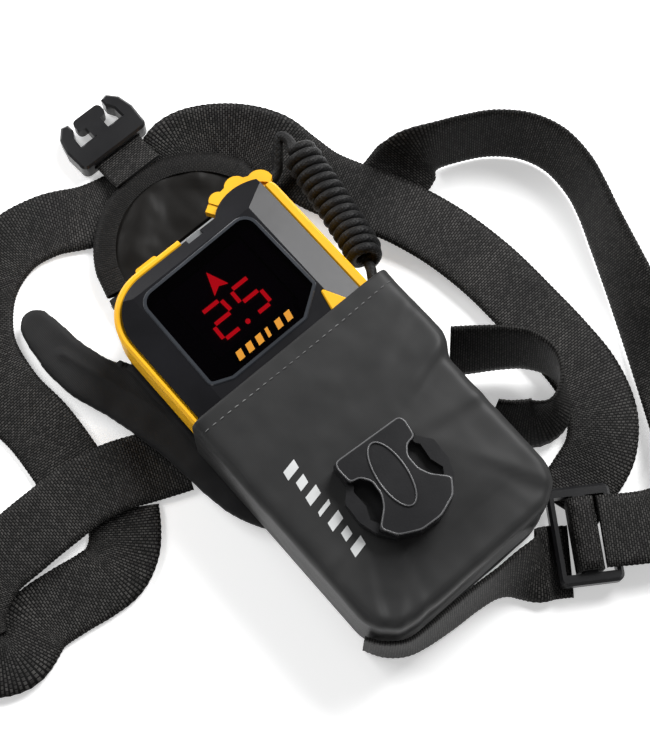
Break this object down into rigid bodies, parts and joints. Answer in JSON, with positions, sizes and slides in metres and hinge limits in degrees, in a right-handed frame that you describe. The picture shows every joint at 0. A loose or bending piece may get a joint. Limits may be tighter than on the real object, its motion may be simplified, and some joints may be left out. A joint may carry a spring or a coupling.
{
  "type": "avalanche transceiver in harness pouch",
  "caption": "Avalanche rescue transceiver with lit display and turning mode lever, seated in the pouch of its webbing chest harness with flap, buckle and coiled tether.",
  "frame": {"origin": "on the surface that the back panel rests on, below the middle of the transceiver", "axes": "+X across the transceiver towards its tether side, +Y towards its top edge and lever, +Z out of its face"},
  "size_m": [0.2855, 0.265, 0.0472],
  "materials": {
    "case_black": "gloss",
    "bumper_yellow": "satin",
    "seal_rubber": "matte",
    "steel": "satin",
    "bezel_silver": "satin",
    "window_glass": "gloss",
    "module_dark": "matte",
    "led_red": "lit",
    "light_pipe": "translucent",
    "board_green": "satin",
    "chip_black": "matte",
    "ferrite": "matte",
    "copper": "satin",
    "cell_sleeve": "gloss",
    "inner_plastic": "matte",
    "pouch_fabric": "coated",
    "panel_fabric": "matte",
    "lining_fabric": "shiny",
    "binding_fabric": "ribbed",
    "webbing": "woven",
    "buckle_black": "satin",
    "tether_cord": "braided"
  },
  "bodies": {
    "harness": {"back_panel": "panel_fabric", "pouch_shell": "pouch_fabric", "buckle_socket": "buckle_black", "wing_pad": "panel_fabric", "shoulder_strap": "webbing", "side_strap": "webbing", "waist_strap": "webbing", "keeper_strap": "webbing", "bottom_strap": "webbing", "ladder_lock": "buckle_black", "lock_webbing": "webbing", "tether_loop": "webbing", "tether_upper": "tether_cord", "tether_coil": "tether_cord", "tether_lower": "tether_cord"},
    "transceiver": {"rear_housing": "case_black", "front_housing": "case_black", "bumper_rim": "bumper_yellow", "case_seal": "seal_rubber", "case_screws": "steel", "window_bezel": "bezel_silver", "display_window": "window_glass", "display_module": "module_dark", "led_segments": "led_red", "lever_shaft": "steel", "dome_switch": "steel", "status_light_pipe": "light_pipe", "detent_spring": "steel", "main_board": "board_green", "board_chips": "chip_black", "antenna_x_core": "ferrite", "antenna_x_coil": "copper", "antenna_y_core": "ferrite", "antenna_y_coil": "copper", "antenna_z_coil": "copper", "speaker": "inner_plastic", "battery_cells": "cell_sleeve", "battery_contacts": "steel", "battery_springs": "steel", "battery_door": "case_black", "battery_door_seal": "seal_rubber", "lanyard_pin": "steel"},
    "mode_lever": {"mode_lever": "bumper_yellow"},
    "lever_lock": {"lever_lock_tab": "bumper_yellow"},
    "option_button": {"option_button": "bumper_yellow"},
    "battery_latch": {"battery_latch": "inner_plastic"},
    "flap": {"flap_pad": "panel_fabric", "flap_lining": "lining_fabric", "flap_binding": "binding_fabric"},
    "buckle_strap": {"buckle_tab": "webbing", "buckle_plug": "buckle_black"}
  },
  "joints": [
    {"name": "transceiver_slide", "type": "slide", "parent": "harness", "child": "transceiver", "axis": [0, -1, 0], "range_m": [-0.066, 0.018]},
    {"name": "mode_lever_turn", "type": "hinge", "parent": "transceiver", "child": "mode_lever", "pos_m": [0.0255, 0.0485, 0.0276], "axis": [0, 0, 1], "range_deg": [0, 36]},
    {"name": "lever_lock_press", "type": "slide", "parent": "mode_lever", "child": "lever_lock", "axis": [0.515, -0.8572, 0], "range_m": [0, 0.0008], "stiffness_N_per_m": 300, "springref_m": -0.0006},
    {"name": "option_button_press", "type": "slide", "parent": "transceiver", "child": "option_button", "axis": [0, 0, -1], "range_m": [0, 0.0008], "stiffness_N_per_m": 600, "springref_m": -0.0006},
    {"name": "battery_latch_turn", "type": "hinge", "parent": "transceiver", "child": "battery_latch", "pos_m": [0, -0.049, 0.009], "axis": [0, 0, 1], "range_deg": [0, 90]},
    {"name": "flap_hinge", "type": "hinge", "parent": "harness", "child": "flap", "pos_m": [0, 0.07, 0.0072], "axis": [1, 0, 0], "range_deg": [0, 90]},
    {"name": "buckle_strap_hinge", "type": "hinge", "parent": "flap", "child": "buckle_strap", "pos_m": [0.0108, 0.1027, 0.0072], "axis": [1, 0, 0], "range_deg": [0, 90]}
  ]
}
